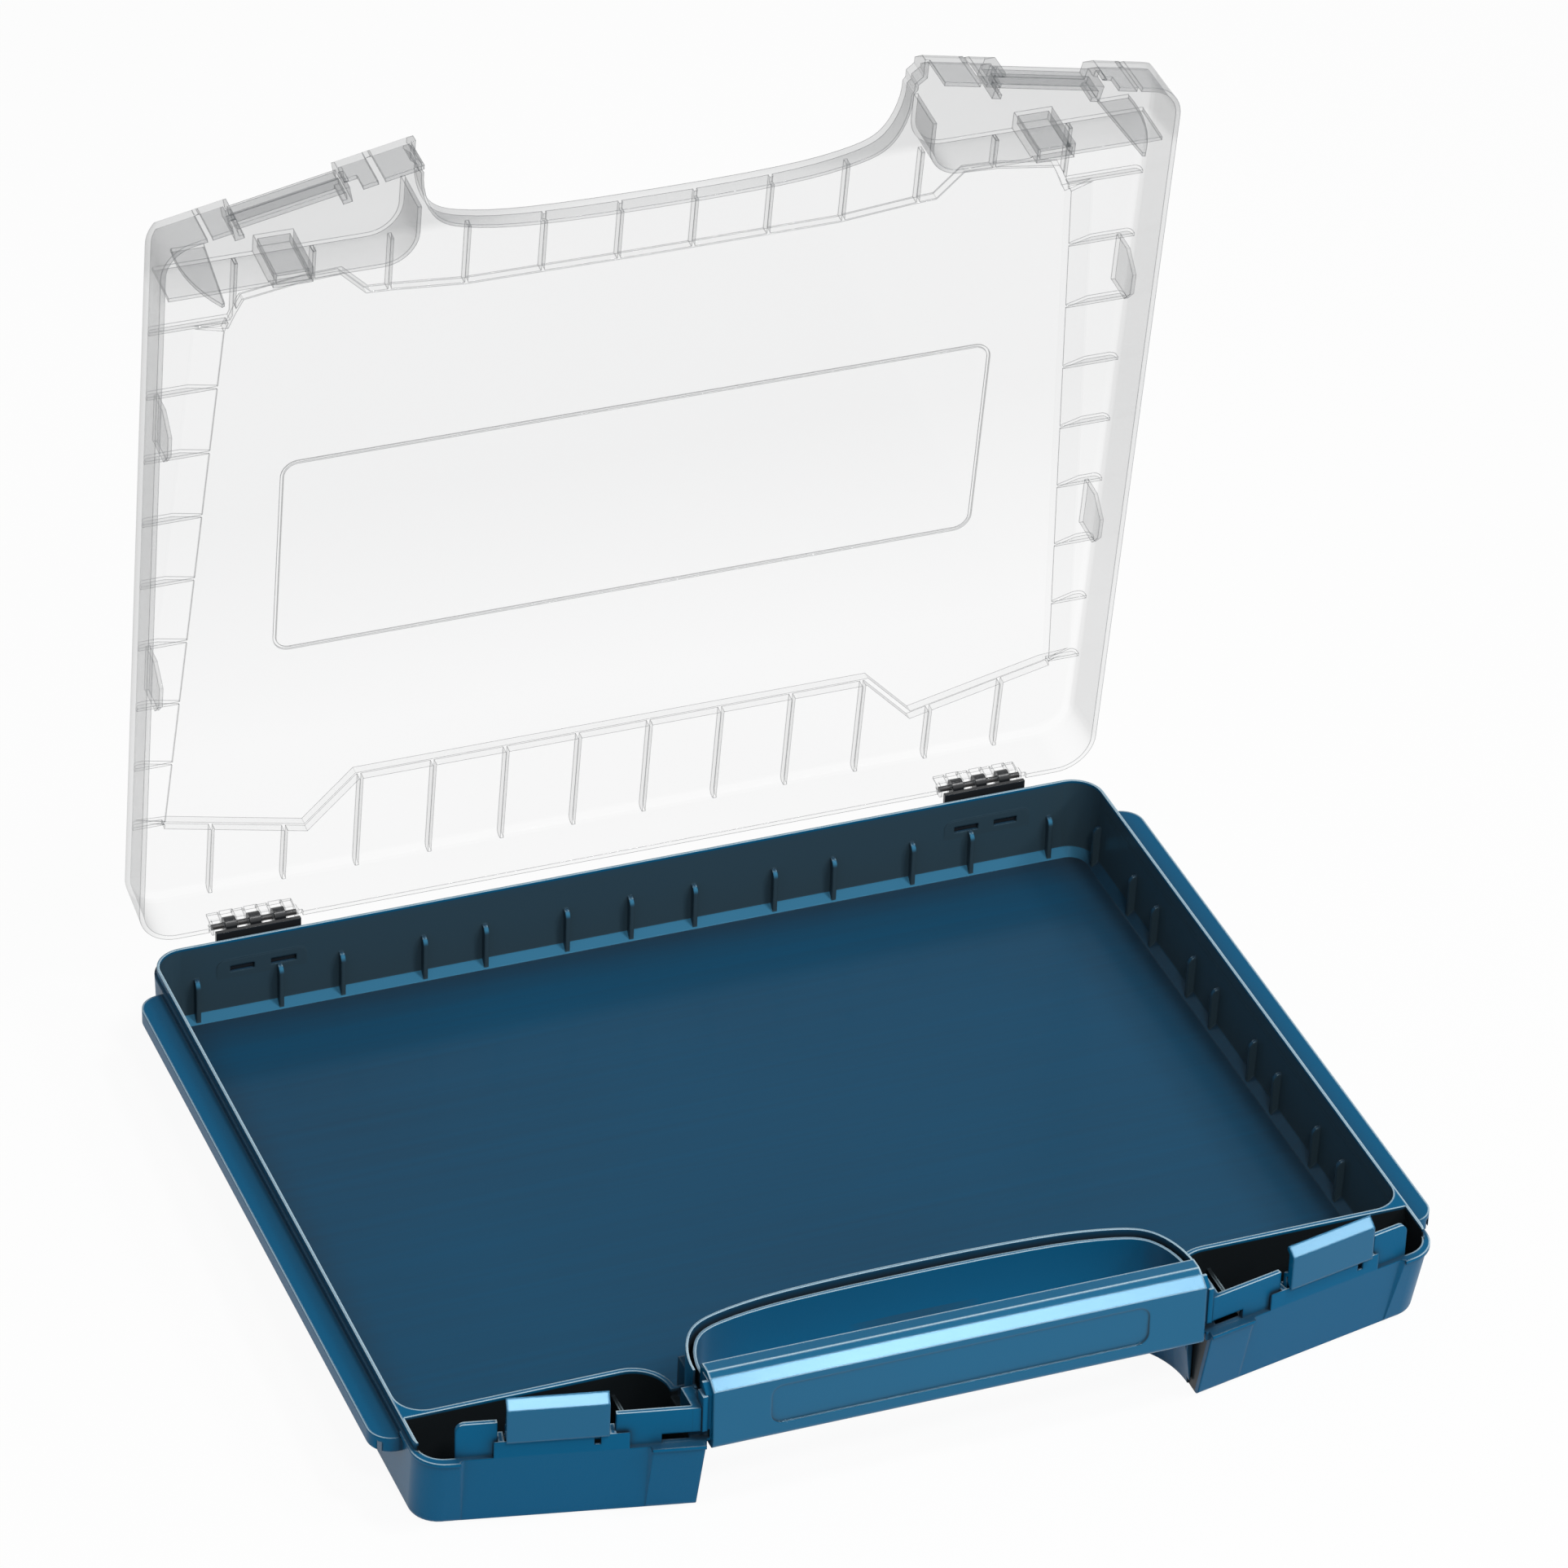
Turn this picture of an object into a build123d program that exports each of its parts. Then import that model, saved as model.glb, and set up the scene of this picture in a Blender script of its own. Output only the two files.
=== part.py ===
from build123d import *
import math
import os

# Flat carry case for saw blades: a moulded tray with a carry handle, a clear hinged
# lid and two snap latches.  X runs across the case, +Y points to the hinges, Z is up
# and the underside rests on Z = 0.  The lid is drawn closed, then set to its open rest.
# The front line sweeps back to each side; N counts inward from it, square to it.

# ---- driving dimensions (mm, degrees) ----
# tray
WALL = 1.8                      # tray wall thickness
FLOOR = 2.5                     # tray floor thickness
BODY_X = 174.6                  # half width of the tray body
BODY_BACK = 148.8               # outer face of the back wall
BACK_R, FRONT_R, BASE_R = 12, 11, 2.5   # radii: rear corners, front corners, underside
DRAFT, ROOM_DRAFT = 2.0, 1.5    # slope of the outer walls and of the compartment walls
ROOM_R, CHAMFER = 10, 2.8       # compartment corners, strip round its floor
LEDGE_Z = 29.8                  # ledge under the lid edge
LAP_STEP, LAP_H = 0.8, 2.8      # rim that stands above the ledge, inside the lid
LAP_N = 3.0                     # the rim lies this far behind the front line
LIP_OUT, LIP_T = 0.6, 1.3       # flange at the front corners and beside the handle
LIP_CORNER_X, LIP_HANDLE_X = 162.2, 103.2
FRONT_WALL_Y = -117.0           # rear face of the compartment front wall
FRONT_SHELL = 2.6               # thickness of the swept front walls at the ledge
FOOT_IN = 7.5                   # the front walls slope in by this much at the underside
SWEEP = 0.2145                  # slope of the swept front faces
FRONT_X0, FRONT_Y0 = 85.0, -158.9
WELL_X0, WELL_RIB_X = 88.6, 103.0       # pockets behind the front walls and their rib
WELL_R = 12.0                   # turn of the pocket wall beside the handle
WELL_RIB_Z = 24.0
PANEL_X, PANEL_IN, PANEL_EDGE = (104, 161), 1.2, 1.4    # sunk panel in each front wall
RIB_T, RIB_TOP, RIB_OUT = 1.6, 17.5, 3.1            # compartment wall ribs
RIB_ROUND = 2.7
RAIL_X, RAIL_Z = 183.5, 27.5    # side rails
RAIL_LIP, RAIL_T, RAIL_R = 5.2, 1.8, 8
RAIL_BACK, RAIL_FRONT = 131.0, -121.5
# handle
D_TOP, D_FRONT_TOP = 48.5, 47.0  # wall round the finger opening: rear and front ridge
GROOVE_Z = 40.5                 # bottom of the groove that takes the lid skirt
HANDLE_X, HANDLE_Z = 84.0, 26.5
HANDLE_FIT = 0.3                # grip to the pillars at its ends
GRIP_Y0, GRIP_Y1, GRIP_TOP = -158.0, -145.0, 52.4
BEAM_WALL, BEAM_CUT = 2.4, 3.0  # grip wall over the tray beam, cut under its bevel
PILLAR_X = 90.0
# front walls and latches
WING_Z, WING_T, WING_OFF = 42.6, 1.8, 2.6   # upright walls beside the latches
WINGS = ((88.0, 114.2), (150.8, 163.7))
WING_R = 3.0
PAD_Z, PAD_OFF = 36.0, 1.2      # latch housing
PAD_X = (110.0, 152.0)
SLOT_X1, SLOT_H = 100.0, 3.6    # slot beside the handle, just above the ledge
NOTCH_W, NOTCH_H, NOTCH_IN = 2.1, 3.7, 2.4      # drain notch under each latch
LATCH_X0, LATCH_X1 = 116.5, 148.3
LATCH_T = 2.5
LATCH_N, LATCH_Z = 4.4, 34.3    # latch axis: behind the front line, height
LATCH_PROUD, LATCH_TOP, HOOK_TOP = 0.3, 48.9, 52.0
BARREL_R = 1.9
SIDE_GAP, LUG_T = 0.4, 1.9      # latch to lug, lug thickness
# hinges
AXIS_Y, AXIS_Z = 155.6, 33.1    # lid hinge axis
HINGE_X0, HINGE_X1 = 118.7, 149.0
KNUCKLE_R, PIN_R = 2.8, 1.0
RUN_FIT, PRESS_FIT = 0.05, 0.01
N_KNUCKLES, KNUCKLE_GAP = 7, 0.3
LEAF_T, LEAF_Z0 = 1.5, 8.0      # hinge bracket leaf
MOULD_T = 1.0                   # moulding that the leaf lies against
MOULD_Z, MOULD_H = 14.4, 20.8
TABS = ((121.5, 130.6), (136.5, 145.2))     # slots for the bracket tabs
TAB_Z0, TAB_Z1, TAB_FIT = 19.8, 22.1, 0.2
TAB_SHORT = 0.5                 # the tabs end this far inside the wall
# lid
LID_X, LID_BACK = 175.9, 155.0  # lid outline at its edge
LID_EDGE, LID_TOP, LID_WALL = 30.1, 51.9, 1.6
LID_DRAFT, LID_ROUND = 2.0, 3.5
LID_FIT = 0.2                   # added room inside the lid for the tray rim
BEVEL_Z, BEVEL_N, BEVEL_IN = 45.7, 5.0, 1.9     # bevel along the front of the lid
SUNK = 3.2                      # the middle of the lid top lies this much lower
SKIRT_Z = 43.5                  # lower edge of the lid skirt in the groove
LID_OPEN = 82.6                 # opening angle of the rest pose
RIB_PITCH, LID_RIB_T = 26.4, 1.2
FRAME_U = (105.0, 185.6)        # raised label frame, measured from the hinge axis
FRAME_X, FRAME_LINE, FRAME_R = 126.0, 1.0, 6
TAB_U = ((97, 116), (203, 222))     # guide tabs, measured from the hinge axis
TAB_X, TAB_T, TAB_DROP = 168.6, 1.4, 15.5
SLOPE = 11.0                    # width of the slopes beside the sunk middle
WALL_TURN, WALL_END = 12.0, 10.0    # the lid's inner wall: turn to the handle, straight end
POCKET_IN, POCKET_OUT, POCKET_WALL = 2.6, 1.4, 1.6      # room round each latch in the lid
BLOCK_GAPS = ((102.3, 104.4), (159.2, 160.8))
BRIDGE_X, BRIDGE_N, BRIDGE_T = (125.0, 138.5), (0.7, 6.4), 1.2
FIN_X, FIN_Y, FIN_T, FIN_DROP = (155.0, 166.0), -5.6, 1.4, 32.0

SW = math.degrees(math.atan(SWEEP))
RIM_Z = LEDGE_Z + LAP_H
IN_X = BODY_X - WALL
IN_BACK = BODY_BACK - WALL
WING_BACK = WING_OFF + WING_T
LID_CEILING = LID_TOP - LID_WALL
REACH = RAIL_X + 20             # cutting boxes reach past every face
INTO = 0.5                      # pieces of one body reach this far into each other


def front(x, off=0.0):
    """Y of the swept front line at |x|, moved back by off."""
    return FRONT_Y0 + SWEEP * (abs(x) - FRONT_X0) + off


def box(x0, x1, y0, y1, z0, z1):
    return Pos((x0 + x1) / 2, (y0 + y1) / 2, (z0 + z1) / 2) * Box(x1 - x0, y1 - y0, z1 - z0)


def slab(face, z0, z1):
    """A flat face drawn at Z = 0, extruded from z0 to z1."""
    return Pos(0, 0, z0) * extrude(face, z1 - z0)


def drafted(face, z0, height, slope):
    """A flat face extruded up or down from z0, with its sides sloping in."""
    solid = extrude(face, -abs(height), taper=slope)
    return Pos(0, 0, z0) * (mirror(solid, Plane.XY) if height > 0 else solid)


def across(points, length):
    """A closed section in Y and Z, extruded along +X."""
    return extrude(Plane.YZ * make_face(Polyline(*points, close=True)), length)


def rod(x0, x1, y, z, r):
    return Pos((x0 + x1) / 2, y, z) * Rot(0, 90, 0) * Cylinder(r, x1 - x0)


def both(shape):
    return shape + mirror(shape, Plane.YZ)


def swept(shape):
    """Place a shape drawn in the front face frame: X along the face, +Y inward."""
    return Pos(FRONT_X0, FRONT_Y0, 0) * Rot(0, 0, SW) * shape


def along(x):
    return (x - FRONT_X0) / math.cos(math.radians(SW))


def sbox(x0, x1, n0, n1, z0, z1):
    return swept(box(along(x0), along(x1), n0, n1, z0, z1))


def outline(hx, back, off, r_back, r_front):
    """Case outline: straight sides and back, swept front, flat middle."""
    pts = [(-hx, back), (hx, back), (hx, front(hx, off)), (FRONT_X0, FRONT_Y0 + off),
           (-FRONT_X0, FRONT_Y0 + off), (-hx, front(hx, off))]
    face = make_face(Polyline(*pts, close=True))
    face = fillet([v for v in face.vertices() if v.Y > back - 1], r_back)
    return fillet([v for v in face.vertices() if abs(v.X) > hx - 1 and v.Y < 0], r_front)


# Right half of the curves round the finger opening, outer and inner
D_OUT = [(0, -113.3), (40, -114.2), (67.7, -118.0), (77.9, -122.4), (83.6, -130.8), (86.0, -144.5)]
D_IN = [(0, -118.3), (40, -119.0), (67.2, -122.2), (75.9, -125.8), (80.6, -132.6), (82.8, -144.5)]
D_END = -146.0                  # the wall round the opening ends inside the pillars


def d_face(t, tail, grow=0.0):
    """Area inside the finger opening curve; t = 0 outer curve, t = 1 inner curve."""
    right = [(a + (c - a) * t + grow * (a > 0), b + (d - b) * t + grow)
             for (a, b), (c, d) in zip(D_OUT, D_IN)]
    left = [(-x, y) for x, y in reversed(right[1:])]
    curve = Spline(*(left + right))
    xe, ye = right[-1]
    ends = [(-x, y) for x, y in reversed(tail(xe))]
    return make_face(curve + Polyline((xe, ye), *tail(xe), *ends, (-xe, ye)))


def straight(y):
    return lambda xe: [(xe, y)]


# ---- tray ----
def sunk_panel():
    """What is cut from one front wall: deepest at the ledge, nothing at the underside."""
    x0, x1 = (along(x) for x in PANEL_X)
    top = [(x0 - PANEL_EDGE, 0), (x0, PANEL_IN), (x1, PANEL_IN), (x1 + PANEL_EDGE, 0), (x1, -3), (x0, -3)]
    low = [(x0 - 0.1, FOOT_IN - 0.1), (x0, FOOT_IN), (x1, FOOT_IN), (x1 + 0.1, FOOT_IN - 0.1),
           (x1, FOOT_IN - 3), (x0, FOOT_IN - 3)]
    faces = [Pos(0, 0, z) * make_face(Polyline(*pts, close=True)) for pts, z in ((low, 0), (top, LEDGE_Z))]
    return swept(loft(faces, ruled=True))


def tray_block():
    """Outer form of the tray below the ledge, solid."""
    inward = LEDGE_Z * math.tan(math.radians(DRAFT))
    foot = outline(BODY_X - inward, BODY_BACK - inward, FOOT_IN, BACK_R - 1, FRONT_R - 1)
    block = loft([foot, Pos(0, 0, LEDGE_Z) * outline(BODY_X, BODY_BACK, 0, BACK_R, FRONT_R)], ruled=True)
    block = fillet(block.faces().sort_by(Axis.Z)[0].edges(), BASE_R)
    return block - both(sunk_panel())


def tray_lip():
    """Flange at the ledge, round the front corners and beside the handle."""
    ring = outline(BODY_X + LIP_OUT, BODY_BACK, -LIP_OUT, BACK_R, FRONT_R + LIP_OUT)
    ring -= outline(BODY_X - INTO, BODY_BACK - 1, INTO, BACK_R, FRONT_R - INTO)
    zone = box(LIP_CORNER_X, REACH, -REACH, RAIL_FRONT + INTO, 0, LEDGE_Z)
    zone += box(HANDLE_X + 2.5, LIP_HANDLE_X, -REACH, D_END, 0, LEDGE_Z)
    return slab(ring, LEDGE_Z - LIP_T, LEDGE_Z) & zone


def beam(x):
    """Bar inside the grip, its front top corner cut back under the grip's bevel."""
    y0, y1 = GRIP_Y0 + BEAM_WALL, GRIP_Y1 - BEAM_WALL
    z0, z1 = HANDLE_Z + BEAM_WALL, GRIP_TOP - BEAM_WALL
    section = [(y0, z0), (y0, z1 - BEAM_CUT), (y0 + BEAM_CUT, z1), (y1, z1), (y1, z0)]
    return Pos(-x) * across(section, 2 * x)


def finger_opening(body):
    """Wall round the finger opening, pillars at the grip's ends, beam between them."""
    edge = PILLAR_X - 3.5
    body -= box(-edge, edge, -REACH, GRIP_Y1 + 1, -1, 60)
    body -= box(-PILLAR_X, PILLAR_X, -REACH, GRIP_Y1 + 1, LEDGE_Z, 60)
    body += slab(d_face(0, straight(D_END)), FLOOR, D_TOP)
    opening = d_face(1, straight(-175))
    body -= slab(opening, -1, 80)
    body -= Pos(0, 0, HANDLE_Z) * extrude(opening, -HANDLE_Z - 1, taper=-7)
    x0 = HANDLE_X + 1.4
    pillar = box(x0, PILLAR_X, GRIP_Y0 + 2.8, GRIP_Y1 + 1, HANDLE_Z, WING_Z)
    pillar += box(x0, x0 + 1.7, GRIP_Y0 + 1.7, GRIP_Y0 + 6.4, HANDLE_Z, D_FRONT_TOP)
    body += both(pillar)
    gap = HANDLE_X + HANDLE_FIT
    body -= box(-gap, gap, -175, GRIP_Y1 + 0.2, -1, 80)
    body += beam(HANDLE_X + 2)
    groove = slab(d_face(0.24, straight(D_END)), GROOVE_Z, 60) - slab(d_face(0.70, straight(-160)), 0, 70)
    ridge = slab(d_face(0.5, straight(D_END)), D_FRONT_TOP, 60)
    body -= groove & box(-PILLAR_X, PILLAR_X, D_END - 3, -100, 40, 70)
    body -= ridge & box(-PILLAR_X, PILLAR_X, D_END, -100, 40, 70)
    return body - both(box(HANDLE_X + 0.2, PILLAR_X, GRIP_Y0 + 6.4, GRIP_Y1 + 1, WING_Z + 0.4, 60))


def latch_wall(block):
    """Upright walls, latch housing and pin lugs of one side."""
    inner, outer = WINGS
    walls = sbox(*inner, 1.0, WING_BACK, FLOOR, LEDGE_Z - 0.5)
    walls += sbox(*outer, 1.0, WING_BACK, FLOOR, LEDGE_Z - 0.5)
    walls += sbox(*inner, WING_OFF, WING_BACK, LEDGE_Z - 1, WING_Z)
    tall = sbox(*outer, WING_OFF, WING_BACK, LEDGE_Z - 1, WING_Z)
    top = tall.edges().filter_by(lambda e: abs(e.center().Z - WING_Z) < 0.01)
    walls += fillet(top.sort_by(Axis.X)[-1], WING_R)
    back = LATCH_N - BARREL_R - 0.45
    pad = [(PAD_OFF, LEDGE_Z - 2), (PAD_OFF, PAD_Z), (PAD_OFF + 0.3, PAD_Z), (back, PAD_Z - 1),
           (back, LEDGE_Z - 2)]
    x0, x1 = (along(x) for x in PAD_X)
    walls += swept(Pos(x0) * across(pad, x1 - x0))
    hole = swept(rod(x0, x1, LATCH_N, LATCH_Z, PIN_R + PRESS_FIT))
    for x in (LATCH_X0 - SIDE_GAP - LUG_T, LATCH_X1 + SIDE_GAP):
        walls += sbox(x, x + LUG_T, 1.3, LATCH_N + 2.1, FLOOR, PAD_Z) - hole
    return (walls & block) + (walls & box(0, REACH, -REACH, 0, LEDGE_Z, 60))


def wall_rib():
    """A rib at X = 0 that stands out from a wall at Y = 0 towards -Y."""
    rib = box(-RIB_T / 2, RIB_T / 2, -RIB_OUT, INTO, FLOOR - INTO, RIB_TOP + 2)
    top = rib.edges().filter_by(Axis.X).group_by(Axis.Z)[-1].sort_by(Axis.Y)[0]
    return fillet(top, RIB_ROUND)


def side_rail():
    """Grip rail along one side, open below."""
    rail = box(BODY_X - 2, RAIL_X, RAIL_FRONT, RAIL_BACK, RAIL_Z - RAIL_LIP, RAIL_Z)
    rail = fillet(rail.edges().filter_by(Axis.Z).group_by(Axis.X)[-1], RAIL_R)
    return rail - box(BODY_X - 4, RAIL_X - RAIL_T, RAIL_FRONT + RAIL_T, RAIL_BACK - RAIL_T,
                      RAIL_Z - RAIL_LIP - 1, RAIL_Z - RAIL_T)


def make_tray():
    block = tray_block()
    lap = outline(BODY_X - LAP_STEP, BODY_BACK - LAP_STEP, LAP_N, BACK_R - LAP_STEP, FRONT_R - 1)
    body = block + (slab(lap, LEDGE_Z, RIM_Z) - box(-REACH, REACH, -REACH, -132, 0, 60))
    body += both(tray_lip())
    # compartment, with a chamfer strip round the floor
    room = Pos(0, (IN_BACK + FRONT_WALL_Y) / 2) * Rectangle(2 * IN_X, IN_BACK - FRONT_WALL_Y)
    room = drafted(fillet(room.vertices(), ROOM_R), RIM_Z, FLOOR - RIM_Z, ROOM_DRAFT)
    body -= chamfer(room.faces().sort_by(Axis.Z)[0].edges(), CHAMFER)
    # pockets behind the swept front walls
    well = [Pos(0, 0, z) * outline(IN_X, REACH, FRONT_SHELL + n, 9, 9)
            for z, n in ((0, FOOT_IN), (LEDGE_Z, 0), (RIM_Z + 1, 0))]
    corner = Pos(WELL_X0 + REACH / 2, FRONT_WALL_Y - WALL - REACH / 2) * Rectangle(REACH, REACH)
    corner = fillet(corner.vertices().sort_by(Axis.X)[:2].sort_by(Axis.Y)[-1], WELL_R)
    body -= both(loft(well, ruled=True) & slab(corner, FLOOR, RIM_Z + 1))
    # the compartment reaches round that turn as far as the wall of the finger opening
    x, y, r = WELL_X0 + WELL_R, FRONT_WALL_Y - WALL - WELL_R, WELL_R + WALL
    nook = Pos(x - 10, y + r / 2 + 0.5) * Rectangle(20, r + 1) - Pos(x, y) * Circle(r)
    body -= both(slab(nook, FLOOR, RIM_Z + 1))
    body = finger_opening(body)
    body += both(latch_wall(block))
    body -= both(sbox(HANDLE_X + 1, SLOT_X1, -1, WING_BACK + 0.9, LEDGE_Z, LEDGE_Z + SLOT_H))
    # a drain notch under each latch, at the same end of both
    depth = LATCH_N - BARREL_R - 0.1
    x = LATCH_X1 - NOTCH_IN - NOTCH_W
    body -= sbox(x, x + NOTCH_W, -1, depth, PAD_Z - NOTCH_H, PAD_Z + 1)
    x = LATCH_X0 + NOTCH_IN
    body -= mirror(sbox(x, x + NOTCH_W, -1, depth, PAD_Z - NOTCH_H, PAD_Z + 1), Plane.YZ)
    y = FRONT_WALL_Y - WALL
    rib = box(WELL_RIB_X - 0.7, WELL_RIB_X + 0.7, y - 30, y + 0.2, FLOOR - INTO, WELL_RIB_Z)
    body += both(rib & block)
    # ribs in pairs on the back and side walls
    for x in (0, 23.6, 53.4, 75.6, 105.4, 127.6, 157.4):
        body += both(Pos(x, IN_BACK) * wall_rib()) if x else Pos(0, IN_BACK) * wall_rib()
    for y in (134.7, 102.6, 82.7, 50.6, 30.7, -1.4, -21.3, -53.4, -73.3, -105.4):
        body += both(Pos(IN_X, y) * Rot(0, 0, -90) * wall_rib())
    body += both(side_rail())
    return hinge_seats(body)


def hinge_seats(body):
    """Mouldings for the hinge brackets, their slots, and the skirt between them."""
    middle, width = (HINGE_X0 + HINGE_X1) / 2, HINGE_X1 - HINGE_X0 + 2
    face = Pos(middle, BODY_BACK + MOULD_T, MOULD_Z) * Rot(90, 0, 0) * RectangleRounded(width, MOULD_H, 3)
    body += both(extrude(face, MOULD_T + 2.2))
    for x0, x1 in TABS:
        body -= both(box(x0, x1, IN_BACK - 4, BODY_BACK + 3, TAB_Z0, TAB_Z1))
    skirt = slab(outline(BODY_X - 1, BODY_BACK + 4.8, 0, 13, FRONT_R), 24.5, 28.0)
    skirt &= box(-158, 158, BODY_BACK - 1, 160, 20, 30)
    return body + (skirt - both(box(HINGE_X0 - 2.7, HINGE_X1 + 2, BODY_BACK + 0.2, 170, 20, 40)))


def make_grip():
    y0, y1 = GRIP_Y0, GRIP_Y1
    section = [(y0, HANDLE_Z), (y0 + 0.7, GRIP_TOP - 3.7), (y0 + 4.8, GRIP_TOP - 1.1), (y0 + 7.2, GRIP_TOP),
               (y1 - 1.2, GRIP_TOP), (y1, GRIP_TOP - 1.4), (y1, HANDLE_Z)]
    grip = Pos(-HANDLE_X) * across(section, 2 * HANDLE_X)
    grip = fillet(grip.edges().filter_by(Axis.X).group_by(Axis.Z)[0], 2.0)
    grip -= beam(HANDLE_X + 6)
    panel = Pos(0, y0 + 0.9, HANDLE_Z + 12.5) * Rot(90, 0, 0) * RectangleRounded(129, 14.5, 4)
    return grip - extrude(panel, 3)


# ---- latches ----
def make_latch():
    n, z = LATCH_N, LATCH_Z
    face, back = -LATCH_PROUD, LATCH_T - LATCH_PROUD
    low = PAD_Z + 0.4
    section = [(face, low), (face, LATCH_TOP), (2.9, HOOK_TOP), (3.4, HOOK_TOP - 0.5), (3.4, HOOK_TOP - 1.6),
               (back, LATCH_TOP + 0.3), (back, 41.8), (n - 0.15, 40.6), (n - 0.15, z), (n - 1.6, z),
               (n - 1.6, 39.8), (back, 40.2), (back, low + 2.1), (0.6, low)]
    x0, x1 = along(LATCH_X0), along(LATCH_X1)
    plate = Pos(x0) * across(section, x1 - x0) + rod(x0, x1, n, z, BARREL_R)
    return swept(plate - rod(x0 - 1, x1 + 1, n, z, PIN_R + RUN_FIT))


def make_latch_pin():
    end = SIDE_GAP + LUG_T
    return swept(rod(along(LATCH_X0 - end), along(LATCH_X1 + end), LATCH_N, LATCH_Z, PIN_R))


# ---- hinges ----
def knuckle_span(i, grow=0.0):
    """Ends of one knuckle; the odd ones are the bracket's, the even ones the lid's."""
    step = (HINGE_X1 - HINGE_X0 + KNUCKLE_GAP) / N_KNUCKLES
    x0 = HINGE_X0 + i * step
    return x0 - grow, x0 + step - KNUCKLE_GAP + grow


def make_bracket():
    y0 = BODY_BACK + MOULD_T
    leaf = box(HINGE_X0, HINGE_X1, y0, y0 + LEAF_T, LEAF_Z0, AXIS_Z + 1.2)
    for i in range(1, N_KNUCKLES, 2):
        x0, x1 = knuckle_span(i)
        leaf += rod(x0, x1, AXIS_Y, AXIS_Z, KNUCKLE_R)
        leaf += box(x0, x1, y0 + INTO, AXIS_Y, AXIS_Z - KNUCKLE_R, AXIS_Z - 0.2)
    for x0, x1 in TABS:
        leaf += box(x0 + TAB_FIT, x1 - TAB_FIT, IN_BACK + TAB_SHORT, y0 + INTO,
                    TAB_Z0 + TAB_FIT, TAB_Z1 - TAB_FIT)
    return leaf - rod(HINGE_X0 - 1, HINGE_X1 + 1, AXIS_Y, AXIS_Z, PIN_R + PRESS_FIT)


def make_hinge_pin():
    return rod(HINGE_X0, HINGE_X1, AXIS_Y, AXIS_Z, PIN_R)


# ---- lid, drawn closed ----
SIDE_LINE = ((146.3, -90.0), (160.5, 118.2))    # side of the sunk middle
PLATEAU = [(0, -91.9), (65, -92.3), (91, -94.8), (99.6, -95.3), (108.7, -104.6), (121, -104.0),
           (141.4, -100.7), (144, -95.5), *SIDE_LINE, (111.5, 130.6), (94, 111.6)]


def plateau(grow=0.0):
    """Outline of the sunk middle of the lid top, moved outward by grow."""
    pts = PLATEAU + [(-x, y) for x, y in reversed(PLATEAU) if x > 0]
    moved = []
    for p, q, r in zip(pts[-1:] + pts[:-1], pts, pts[1:] + pts[:1]):
        u, v = Vector(q) - Vector(p), Vector(r) - Vector(q)
        a, b = (Vector(e.Y, -e.X).normalized() for e in (u, v))
        m = (a + b) * (grow / (1 + a.dot(b)))
        moved.append((q[0] + m.X, q[1] + m.Y))
    return make_face(Polyline(*moved, close=True))


def lid_shell():
    """Drafted shell with a bevel along the swept front and a sunk middle."""
    outer = drafted(outline(LID_X, LID_BACK, 0, 14, 13), LID_EDGE, LID_TOP - LID_EDGE, LID_DRAFT)
    outer = fillet(outer.faces().sort_by(Axis.Z)[-1].edges(), LID_ROUND)
    bevel = across([(-6, BEVEL_Z), (0, BEVEL_Z), (BEVEL_N, LID_TOP), (BEVEL_N, 60), (-6, 60)], 120)
    outer -= both(swept(Pos(-5) * bevel))
    room = LID_WALL + LID_FIT
    face = outline(LID_X - room, LID_BACK - room, LID_WALL, 12, 11)
    inner = drafted(face, LID_EDGE, LID_CEILING - LID_EDGE, LID_DRAFT)
    inner = fillet(inner.faces().sort_by(Axis.Z)[-1].edges(), 2.0)
    inner += slab(face, LID_EDGE - 1, LID_EDGE)
    inner -= both(swept(Pos(-5, BEVEL_IN, -1.0) * bevel))
    shell = outer - inner + slab(plateau(1.8), LID_CEILING - SUNK, LID_CEILING + INTO)
    return outer, shell - slab(plateau(), LID_TOP - SUNK, LID_TOP + 1)


def side_slopes():
    """Sloping panel from the sunk middle up to the side border, and the room above it."""
    a, b = (Vector(*p) for p in SIDE_LINE)
    turn = math.degrees(math.atan2(b.X - a.X, b.Y - a.Y))
    low, w = LID_TOP - SUNK, LID_WALL
    panel = [(-1, low - w), (-1, low), (0, low), (SLOPE, LID_TOP), (SLOPE, LID_CEILING), (0, low - w)]
    room = [(0, low), (SLOPE, LID_TOP), (SLOPE, LID_TOP + 1), (0, LID_TOP + 1)]
    made = []
    for section in (panel, room):
        prism = extrude(Plane.XZ * make_face(Polyline(*section, close=True)), -(b - a).length)
        made.append(both(Pos(a.X, a.Y) * Rot(0, 0, -turn) * prism))
    return made


def lid_ribs():
    """Stiffening ribs under the raised border."""
    z0, z1 = LID_CEILING - SUNK, LID_CEILING + INTO
    half = LID_RIB_T / 2
    ribs = Part()
    for k in range(9):
        y = AXIS_Y - 38.5 - RIB_PITCH * k
        ribs += box(140, LID_X - LID_WALL, y - half, y + half, z0, z1)
    for k in range(6):
        x = RIB_PITCH * (k + 0.5) - 0.2
        ribs += box(x - half, x + half, 110, LID_BACK - LID_WALL, z0, z1)
        ribs += box(x - half, x + half, FRONT_WALL_Y, -90, z0, z1)
    return both(ribs) - slab(plateau(1.0), z0 - 1, LID_TOP)


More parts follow.
